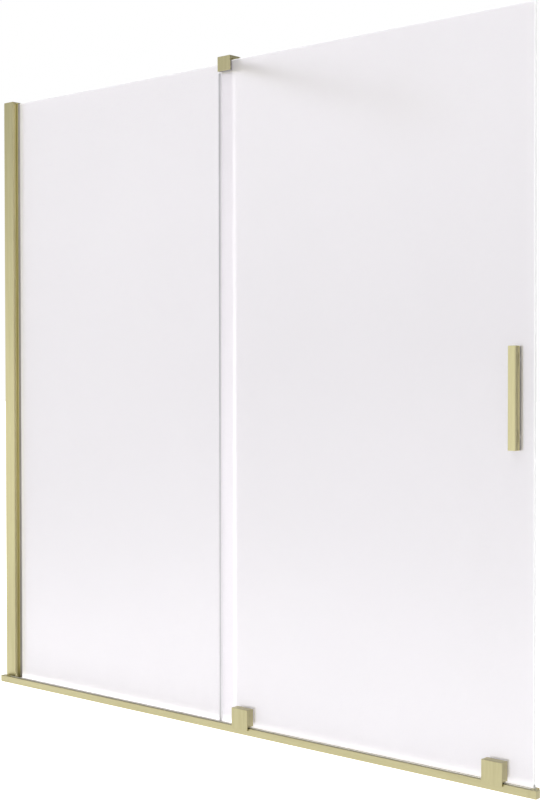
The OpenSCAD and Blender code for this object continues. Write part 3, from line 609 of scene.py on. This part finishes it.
# Painted glow: the polished edges give off a little white light of their own
glass_edge_painted_glow = mottled(
    "polished glass edge with painted glow", ((0.95, 0.955, 0.95), (0.98, 0.985, 0.98)), 0.16, 900.0, 20.0, 0.05,
    Transmission_Weight=0.3, IOR=1.5, Emission_Strength=0.25, Emission_Color=WHITE)
dark_rubber = mottled(
    "dark olive gasket", ((0.235, 0.220, 0.195), (0.285, 0.265, 0.235)), 0.60, 1500.0, 15.0, 0.3)
# Painted light: the bead's grey is painted paler and glowing across its width and towards its foot
seal_bead = bead_with_painted_glow("grey bead of the meeting seal with painted glow", (span("meeting_seal")[0][0] + 1.7) * MM, 0.006)
# Painted glow: the seals and pads give off a little white light of their own
grey_seal_painted_glow = mottled(
    "clear grey seal with painted glow", ((0.89, 0.88, 0.90), (0.93, 0.92, 0.94)), 0.30, 1600.0, 20.0, 0.03,
    Transmission_Weight=0.5, IOR=1.4, Emission_Strength=0.10, Emission_Color=WHITE)
stop_grey = mottled("grey rubber stop", ((0.66, 0.66, 0.65), (0.72, 0.72, 0.71)), 0.55, 1500.0, 30.0, 0.2)
pale_nylon = mottled("natural nylon", ((0.74, 0.73, 0.69), (0.80, 0.79, 0.75)), 0.42, 1200.0, 30.0, 0.1)


# Pieces

STILL, PANEL = "screen_frame", "sliding_panel"
# Rims at the cut ends of the metal profiles and of the seals
CUT_RIM, SEAL_RIM = 0.08, 0.05
# Radii of the holes through the panes and of those for the clamp screws in the rear plates
PANE_HOLE, SCREW_HOLE = 5.0, 2.6
# Distance of a carriage's two clamp screws from its middle
SCREW_REACH = 12.0
# Radii of a clamp screw's shank and head, and the depth of its socket
CLAMP_SCREW = 2.5, 4.4, 2.2
# How far a screw's head lies below the face of its plate
SUNK = 0.05


def make_rail():
    """Rail with its shallow groove, the block at the wall, the cap at the free end and the stop."""
    (x0, y0, z0), (x1, y1, z1) = span("rail_track")
    (_, groove0, floor), (_, groove1, _) = span("running_strip")
    foot_edge, top_edge, groove_edge = 0.5, 0.6, 0.1
    outline = rounded([(y0, z0), (y1, z0), (y1, z1), (groove1, z1), (groove1, floor), (groove0, floor),
                       (groove0, z1), (y0, z1)],
                      np.array([foot_edge] * 2 + [top_edge] + [groove_edge] * 4 + [top_edge]))
    piece("rail_profile", [bar(outline, "x", x0, x1, CUT_RIM)], gold_along, STILL,
          ["rail_track"], painted_light_material=gold_painted_top_shade, painted_light_axis=2)

    wall, play, root = 1.8, 0.2, 1.0
    block_gap, cap_gap, cap_foot = 0.4, 0.02, 1.8

    def spigot(node, foot, start, end):
        """Spigot that enters the rail's hollow from a node, some way above the node's foot."""
        low, high = span(node)
        outline = rectangle(low[1] + wall + play, high[1] - wall - play,
                            low[2] + wall + foot, high[2] - wall - play, radius=0.4)
        return bar(outline, "x", start, end, ease=0.3)

    node = "rail_wall_block"
    low, high = span(node)
    piece("rail_block_at_wall",
          [bar(section(node, "x", radius=1.0), "x", low[0], x0 - block_gap, ease=0.8),
           spigot(node, play, x0 - root, high[0])], gold_along, STILL, [node])
    node = "rail_end_cap"
    low, high = span(node)
    piece("rail_cap_at_free_end",
          [bar(section(node, "x", radius=0.8), "x", x1 + cap_gap, high[0], ease=0.6),
           spigot(node, cap_foot, low[0], x1 + root)], gold_along, STILL, [node],
          painted_light_material=gold_painted_side_shade)
    piece("soft_closing_stop", [block("closing_stop", "z", radius=0.5, ease=0.5)], stop_grey, STILL,
          ["closing_stop"])


def make_post():
    """Wall channel with an open mouth, its cap, the profile that nests in it and the gaskets."""
    (x0, y0, z0), (x1, y1, z1) = span("wall_channel")
    (_, face0, _), (_, face1, _) = span("fixed_glass")
    centre = (face0 + face1) / 2
    wall, mouth = 2.0, 13.6 / 2
    mouth0, mouth1 = centre - mouth, centre + mouth
    outer_edge, mouth_edge, inner_edge, seam = 0.6, 0.8, 0.4, 0.05
    outline = rounded([
        (x0, y0), (x1, y0), (x1, mouth0), (x1 - wall, mouth0), (x1 - wall, y0 + wall),
        (x0 + wall, y0 + wall), (x0 + wall, y1 - wall), (x1 - wall, y1 - wall), (x1 - wall, mouth1),
        (x1, mouth1), (x1, y1), (x0, y1)],
        np.array([outer_edge, mouth_edge] + [inner_edge] * 8 + [mouth_edge, outer_edge]))
    piece("post_channel", [bar(outline, "z", z0, z1 - seam, CUT_RIM)], gold_post_painted_light, STILL,
          ["wall_channel"], painted_light_material=gold_post_side_painted_light)

    play, plug_width, plug_root = 0.3, 10.5, 0.5
    (_, _, plug_foot), (_, _, top) = span("wall_channel_cap")
    plug = rectangle(x0 + wall + play, x0 + plug_width, y0 + wall + play, y1 - wall - play, radius=0.5)
    piece("post_cap",
          [bar(rectangle(x0, x1, y0, y1, radius=0.9), "z", z1, top, ease=0.7),
           bar(plug, "z", plug_foot, z1 + plug_root, ease=0.3)], gold_post_painted_light, STILL,
          ["wall_channel_cap"], painted_light_material=gold_post_side_painted_light)

    (u0, wing0, foot), (u1, wing1, head) = span("glass_profile")
    back, sheet, wing, grip = 1.6, 1.2, 14.0, 6.5
    grip0, grip1, inside = centre - grip, centre + grip, u0 + back
    outline = rounded([
        (u0, wing0), (u0 + wing, wing0), (u0 + wing, wing0 + sheet), (inside, wing0 + sheet),
        (inside, grip0), (u1, grip0), (u1, grip0 + sheet), (inside, grip0 + sheet),
        (inside, grip1 - sheet), (u1, grip1 - sheet), (u1, grip1), (inside, grip1),
        (inside, wing1 - sheet), (u0 + wing, wing1 - sheet), (u0 + wing, wing1), (u0, wing1)],
        radius=0.3, steps=3)
    piece("pane_holder", [bar(outline, "z", foot, head, CUT_RIM)], gold_post_painted_light, STILL,
          ["glass_profile"], painted_light_material=gold_post_side_painted_light)

    (strip0, _, foot), (strip1, _, head) = span("glass_profile_gaskets")
    touch, nose, lap, back_reach = 0.05, 0.5, 0.3, 1.0
    front_strip = (grip0 + sheet, face0, -1, strip1)
    back_strip = (grip1 - sheet, face1, 1, u1 + back_reach)
    shells = []
    for y, face, side, end in (front_strip, back_strip):
        strip = rounded([(strip0, y), (u1 + lap, y), (end - lap, face + side * nose),
                         (end, face + side * touch), (strip0, face + side * touch)], radius=0.04, steps=2)
        shells.append(bar(strip, "z", foot, head, ease=0.03))
    piece("post_gaskets", shells, dark_rubber, STILL, ["glass_profile_gaskets"])


def make_panes():
    """Both panes with polished, eased edges and the bored holes of their fittings."""
    arris, hole_arris = 0.9, 0.5

    def pane(name, node, centres, body, material):
        (_, front, _), (_, back, _) = span(node)
        levels = [(front, arris, hole_arris), (front + arris, 0, 0), (back - arris, 0, 0),
                  (back, arris, hole_arris)]
        holes = [(centre, PANE_HOLE) for centre in centres]
        shell = pierced(section(node, "y", radius=1.6, steps=5), holes, levels)
        piece(name, [shell], material, body, [node], edge_material=glass_edge_painted_glow, smooth=25)

    hole = middle("guide_bush")
    pane("fixed_pane", "fixed_glass", [(hole[0], hole[2])], STILL, frosted_still)
    z = middle("carriage_bushes")[2]
    centres = [(middle(axle)[0] + side * SCREW_REACH, z)
               for axle in ("roller_axle_left", "roller_axle_right") for side in (-1, 1)]
    low, high = span("handle_bushes")
    bush = 4.9
    centres += [(middle("handle_bushes")[0], z) for z in (low[2] + bush, high[2] - bush)]
    pane("sliding_pane", "sliding_glass", centres, PANEL, frosted_sliding)


def carriage_block(node, centre, cavity_top):
    """Body of a carriage, eased at both ends, with the roller's cavity open below: its rings run from
    the cavity's top down its walls, over the lower rim, up the outside and over the top."""
    low, high = span(node)
    outer = section(node, "z", radius=0.7)
    long, deep = 15, 5
    cavity = rectangle(centre[0] - long, centre[0] + long, centre[1] - deep, centre[1] + deep,
                       radius=0.7)
    insets = np.array([0.3, 0.0, 0.0, 0.15, 0.5])
    outside = outer[None] + insets[:, None, None] * inward(outer)[None]
    planes = np.concatenate([np.stack([cavity, cavity]), outside])
    places = [cavity_top, low[2], low[2], low[2] + 0.4, high[2] - 0.5, high[2] - 0.15, high[2]]
    return skin(stood_up(planes, places, "z"), "z")


def make_carriages():
    """Front plate, hollow body and clamping plate of both carriages, with their screws."""
    over_roller, screw_start = 1.2, 5.0
    z = middle("carriage_bushes")[2]
    screws = []
    for side in ("left", "right"):
        flanges = "roller_flanges_" + side
        centre, roller_top = middle(flanges), span(flanges)[1][2]
        node = "carriage_cover_" + side
        piece("carriage_face_" + side, [block(node, "y", radius=0.7, ease=0.7)], gold_up, PANEL,
              [node], painted_light_material=gold_painted_side_shade)
        node = "carriage_body_" + side
        piece("carriage_block_" + side, [carriage_block(node, centre, roller_top + over_roller)], gold_up,
              PANEL, [node], painted_light_material=gold_painted_side_shade)
        node = "carriage_back_plate_" + side
        (_, back, _), (_, face, _) = span(node)
        centres = [(centre[0] + s * SCREW_REACH, z) for s in (-1, 1)]
        levels = [(back, 0.4, 0), (back + 0.4, 0, 0), (face - 2.0, 0, 0), (face - 0.5, 0, 1.5),
                  (face - 0.15, 0.15, 1.95), (face, 0.5, 2.2)]
        holes = [(c, SCREW_HOLE) for c in centres]
        shell = pierced(section(node, "y", radius=2.0, steps=6), holes, levels)
        piece("carriage_clamp_" + side, [shell], gold_up, PANEL, [node])
        screws += [socket_screw(c, screw_start, face - SUNK, *CLAMP_SCREW) for c in centres]
    piece("carriage_clamp_screws", screws, steel_plain, PANEL, ["carriage_screws"])


def make_handle():
    """Front bar with eased edges and the neck behind it, base, spacers, rear plate and screws."""
    (x0, y0, z0), (x1, neck_end, z1) = span("handle_bar")
    x = middle("handle_bar")[0]
    depth, cut, screw_start = 9.5, 1.5, 3.0
    neck_step, neck_ends, neck_gap, root = 0.6, 1.2, 12.0, 0.3
    bar_back = y0 + depth
    outline = rounded([(x0 + cut, y0), (x1 - cut, y0), (x1, y0 + cut), (x1, bar_back), (x0, bar_back),
                       (x0, y0 + cut)], np.array([0.3, 0.3, 0.3, 0.4, 0.4, 0.3]), steps=3)
    spacer = 3.5
    low, high = span("handle_spacers")
    screw_low, screw_high = low[2] + spacer, high[2] - spacer
    neck = rectangle(x0 + neck_step, x1 - neck_step, bar_back - root, neck_end, radius=0.2, steps=2)
    stretches = ((z0 + neck_ends, screw_low - neck_gap), (screw_low + neck_gap, screw_high - neck_gap),
                 (screw_high + neck_gap, z1 - neck_ends))
    shells = [bar(outline, "z", z0, z1, ease=0.9)]
    shells += [bar(neck, "z", start, end, ease=0.1) for start, end in stretches]
    piece("handle_front_bar", shells, gold_handle_painted_lighter, PANEL, ["handle_bar"],
          painted_light_material=gold_handle_side_painted_shade)
    piece("handle_foot", [block("handle_base", "z", radius=0.6, ease=0.5)], gold_handle_painted_lighter, PANEL,
          ["handle_base"])
    centres = [(x, screw_low), (x, screw_high)]
    pin_start, pin_end = bar_back - 0.2, span("handle_base")[0][1]
    piece("handle_distance_pins", [pin(c, 3.4, pin_start, pin_end) for c in centres], gold_up, PANEL,
          ["handle_spacers"])
    (_, back, _), (_, face, _) = span("handle_back_plate")
    levels = [(back, 0.3, 0), (back + 0.3, 0, 0), (face - 2.0, 0, 0), (face - 0.8, 0, 1.2),
              (face - 0.25, 0.2, 1.9), (face, 0.8, 2.2)]
    holes = [(c, SCREW_HOLE) for c in centres]
    shell = pierced(section("handle_back_plate", "y", radius=1.2), holes, levels)
    piece("handle_rear_plate", [shell], gold_up, PANEL, ["handle_back_plate"])
    screws = [socket_screw(c, screw_start, face - SUNK, *CLAMP_SCREW) for c in centres]
    piece("handle_socket_screws", screws, steel_plain, PANEL, ["handle_screws"])


def bar_plug():
    """Outline of the plugs that enter the square bar's hollow at both ends."""
    low, high = span("support_bar")
    bar_wall = 1.7
    return square(middle("support_bar")[::2], (high[0] - low[0]) / 2 - bar_wall, radius=0.5)


def make_guide():
    """Guide with its jaw, bridge and web in one section, the cheek beside the fixed pane, the rear
    plate and its screws. The jaw ends level with the pads inside it."""
    (x0, y0, z0), (x1, y1, z1) = span("guide_body")
    pane_low, pane_high = span("fixed_glass")
    jaw, bridge, jaw_lift = 2.5, 6.0, 2.0
    front_play, back_play = 1.2, 0.6
    web0, web1 = span("sliding_glass")[1][1] + front_play, pane_low[1] - back_play
    roof, jaw_foot = z1 - bridge, z0 + jaw_lift
    outline = rounded([
        (y0, jaw_foot), (y0 + jaw, jaw_foot), (y0 + jaw, roof), (web0, roof), (web0, z0), (web1, z0),
        (web1, roof), (y1, roof), (y1, z1), (y0, z1)],
        np.array([0.6, 0.6, 0.4, 0.4, 0.5, 0.5, 0.4, 0.4, 0.7, 0.7]))
    cheek = rectangle(web1 - 0.5, y1, z0, z1 - 1, radius=0.4)
    piece("guide_block",
          [bar(outline, "x", x0, x1, ease=0.5),
           bar(cheek, "x", pane_high[0] + back_play, x1 - 0.02, ease=0.4)],
          gold_up, STILL, ["guide_body"])

    (_, screw_start, _), (screw_x, screw_face, screw_z) = span("guide_screws")
    large_screw, small_screw = (3.0, 4.6, 2.4), (2.0, 2.9, 1.5)
    small_head, shorter, play = small_screw[1], 3.6, 0.1
    hole = middle("guide_bush")[::2]
    small_hole = np.array([screw_x - small_head, screw_z - small_head])
    (_, back, _), (_, plug_end, _) = span("guide_clamp_plate")
    face = back + 5
    levels = [(back, 0.3, 0), (back + 0.3, 0, 0), (face - 1.8, 0, 0), (face - 0.5, 0, 0.9),
              (face - 0.15, 0.15, 1.15), (face, 0.5, 1.3)]
    holes = [(hole, large_screw[0] + play), (small_hole, small_screw[0] + play)]
    piece("guide_rear_plate",
          [pierced(section("guide_clamp_plate", "y", radius=0.8), holes, levels),
           bar(bar_plug(), "y", face - 0.5, plug_end, ease=0.4)], gold_up, STILL,
          ["guide_clamp_plate"])
    screws = [socket_screw(hole, screw_start, screw_face - SUNK, *large_screw),
              socket_screw(small_hole, screw_start + shorter, screw_face - SUNK, *small_screw)]
    piece("guide_socket_screws", screws, steel_plain, STILL, ["guide_screws"])


def make_support():
    """Square bar from the guide to the wall, and its flange with countersunk holes and a plug."""
    piece("bar_to_wall", [block("support_bar", "y", radius=0.9, ease=0.3)], gold_out, STILL,
          ["support_bar"], painted_light_material=gold_bar_side_painted_shade)
    (_, plug_start, _), (_, wall_face, _) = span("wall_flange")
    plate, screw_rise, screw_hole = wall_face - 6, 17.5, 2.75
    levels = [(plate, 0.8, 2.25), (plate + 0.25, 0.25, 2.0), (plate + 0.8, 0, 1.45),
              (plate + 2.25, 0, 0), (wall_face - 0.3, 0, 0), (wall_face, 0.2, 0)]
    centre = middle("support_bar")[::2]
    holes = [(centre + (0, side * screw_rise), screw_hole) for side in (-1, 1)]
    piece("bar_wall_flange",
          [pierced(section("wall_flange", "y", radius=1.5), holes, levels),
           bar(bar_plug(), "y", plug_start, plate + 1, ease=0.4)], gold_out, STILL,
          ["wall_flange"])


def make_seals():
    """Meeting seal with its front bead, back, wings and fin, and the seal under the sliding pane."""
    (x0, _, foot), (x1, fin_tip, head) = span("meeting_seal")
    (pane_edge, y0, z), (_, y1, _) = span("sliding_glass")
    sheet, touch, tiny = 0.8, 0.03, 0.12
    lip, bead, fin = 0.9, 8.6, pane_edge + 3
    outline = rounded([
        (x0, y0 - sheet), (x0 + lip, y0 - sheet), (x0 + lip, y1 + touch), (x1, y1 + touch),
        (x1, y1 + sheet), (fin + 1, y1 + sheet), (fin + 0.8, fin_tip), (fin + 0.2, fin_tip),
        (fin, y1 + sheet), (x0, y1 + sheet)], radius=tiny, steps=2)
    wing = rectangle(x0 + bead, x1, y0 - sheet, y0 - touch, radius=tiny, steps=2)
    front = rectangle(x0 + lip, x0 + bead, y0 - sheet, y0 - touch, radius=0.05, steps=2)
    piece("pane_meeting_seal", [bar(p, "z", foot, head, SEAL_RIM) for p in (outline, wing)], grey_seal_painted_glow,
          PANEL, ["meeting_seal"])
    piece("pane_meeting_seal_bead", [bar(front, "z", foot, head, SEAL_RIM)], seal_bead, PANEL)
    (start, _, fin_tip), (end, _, _) = span("bottom_seal")
    centre, under = (y0 + y1) / 2, z - 1.2
    front_top, back_top = z + 6, z + 4.8
    outline = rounded([
        (y0 - sheet, under), (centre - 0.5, under), (centre - 0.3, fin_tip), (centre + 0.3, fin_tip),
        (centre + 0.5, under), (y1 + sheet, under), (y1 + sheet, back_top), (y1 + touch, back_top),
        (y1 + touch, z - touch), (y0 - touch, z - touch), (y0 - touch, front_top),
        (y0 - sheet, front_top)], radius=tiny, steps=2)
    piece("pane_bottom_seal", [bar(outline, "x", start, end, SEAL_RIM)], grey_seal_painted_glow, PANEL,
          ["bottom_seal"])


def finish_nodes():
    """Gives the CAD nodes that stay in view their materials."""
    finishes = {
        gold_inside: ["sill_channel", "sill_filler"],
        pale_strip: ["running_strip"],
        steel_plain: ["rail_screws", "locking_screws", "bar_grub_screws", "axle_spacers",
                      "roller_axle_left", "roller_axle_right", "roller_flanges_left",
                      "roller_flanges_right", "roller_bearing_left", "roller_bearing_right"],
        dark_rubber: ["guide_glides", "guide_gaskets"],
        grey_seal_painted_glow: ["sill_gaskets", "carriage_pads"],
        stop_grey: ["opening_stop"],
        pale_nylon: ["setting_blocks", "guide_bush", "carriage_bushes", "roller_tyre_left",
                     "roller_tyre_right", "handle_pads", "handle_bushes"],
    }
    for material, nodes in finishes.items():
        for node in nodes:
            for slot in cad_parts[node].material_slots:
                slot.material = material


# Studio

def make_floor():
    """Wide pale floor just under the seat of the rail. It glows evenly before the screen, and behind it
    less and less with distance and towards the free end."""
    far, camera_glow, before_glow, gap = 30.0, 0.6, 0.88, 0.0005
    mesh = bpy.data.meshes.new("studio_floor")
    mesh.from_pydata([(-far, -far, 0), (far, -far, 0), (far, far, 0), (-far, far, 0)], [], [(0, 1, 2, 3)])
    material, tree, shader = new_material("pale floor", Roughness=0.9, Emission_Strength=1.0,
                                          Base_Color=(0.16, 0.16, 0.16, 1))
    at = split(tree, here_in(tree))
    behind = ramp(tree, at["Y"], -0.4, 0.3)
    distant = ramp(tree, at["Y"], 0.4, 2.6, 1.04, 0.79)
    outer = ramp(tree, at["X"], -0.7, 1.3, 1.03, 0.90)
    level = sums(tree, "MULTIPLY", distant, outer)
    lit = put(tree, "ShaderNodeMix", {"Factor": behind, "A": before_glow, "B": level}).outputs["Result"]
    seen = put(tree, "ShaderNodeLightPath").outputs["Is Camera Ray"]
    glow = sums(tree, "MULTIPLY_ADD", seen, camera_glow, lit)
    tree.links.new(grey_level(tree, glow), shader.inputs["Emission Color"])
    mesh.materials.append(material)
    floor = bpy.data.objects.new("studio_floor", mesh)
    floor.location.z = -gap
    bpy.context.scene.collection.objects.link(floor)


def make_light():
    """Soft room: white behind for the camera, and for the surfaces brightest before the screen on the
    wall side and dimmer above, as a studio with a pale floor is."""
    wall_side_front = (-0.8, -0.6, 0.0)
    scene = bpy.context.scene
    world = bpy.data.worlds.new("soft studio")
    scene.world = world
    world.use_nodes = True
    tree = world.node_tree
    tree.nodes.clear()
    towards = put(tree, "ShaderNodeTexCoord").outputs["Generated"]
    side = put(tree, "ShaderNodeVectorMath", {0: towards, 1: wall_side_front},
               operation="DOT_PRODUCT").outputs["Value"]
    z = split(tree, towards)["Z"]
    far_side = ramp(tree, side, -0.85, -0.2, 0.36, 0.80)
    near_side = ramp(tree, side, 0.05, 1.0, 0.0, 0.39)
    height = ramp(tree, z, -0.04, 0.20, 0.0, 0.42, smooth=True)
    before = ramp(tree, side, 0.2, 0.9, smooth=True)
    ceiling = ramp(tree, z, 0.22, 0.60, 1.0, 0.35, smooth=True)
    around = sums(tree, "ADD", far_side, near_side)
    unshaded = sums(tree, "SUBTRACT", 1.0, sums(tree, "MULTIPLY", height, before))
    level = sums(tree, "MULTIPLY", sums(tree, "MULTIPLY", around, unshaded), ceiling)
    room = put(tree, "ShaderNodeBackground", {"Color": WHITE, "Strength": level})
    plain = put(tree, "ShaderNodeBackground", {"Color": WHITE, "Strength": 1.0})
    seen = put(tree, "ShaderNodeLightPath").outputs["Is Camera Ray"]
    mix = put(tree, "ShaderNodeMixShader", {0: seen, 1: room.outputs[0], 2: plain.outputs[0]})
    put(tree, "ShaderNodeOutputWorld", {"Surface": mix.outputs[0]})
    scene.view_settings.view_transform = "Standard"

    lamp = bpy.data.lights.new("large soft box", "AREA")
    lamp.shape = "RECTANGLE"
    lamp.size = lamp.size_y = 2.5
    lamp.energy = 100.0
    box = bpy.data.objects.new("large soft box", lamp)
    box.location = (0.2, -2.4, 4.2)
    box.rotation_euler = (math.radians(35), 0, 0)
    scene.collection.objects.link(box)


def make_camera():
    """Camera at the photograph's place: turned from the front by yaw, slightly down, hardly rolled."""
    place = (2.0917, -2.22695, 0.7466)
    yaw, down, roll = 41.68, 1.026, -0.0815
    view = bpy.data.cameras.new("view")
    view.lens = 65.61
    view.sensor_width = 36.0
    view.clip_end = 100.0
    camera = bpy.data.objects.new("view", view)
    camera.matrix_world = (Matrix.Translation(place)
                           @ Matrix.Rotation(math.radians(yaw), 4, "Z")
                           @ Matrix.Rotation(math.radians(90 - down), 4, "X")
                           @ Matrix.Rotation(math.radians(roll), 4, "Z"))
    bpy.context.scene.collection.objects.link(camera)
    bpy.context.scene.camera = camera


make_camera()
make_rail()
make_post()
make_panes()
make_carriages()
make_handle()
make_guide()
make_support()
make_seals()
finish_nodes()
make_floor()
make_light()
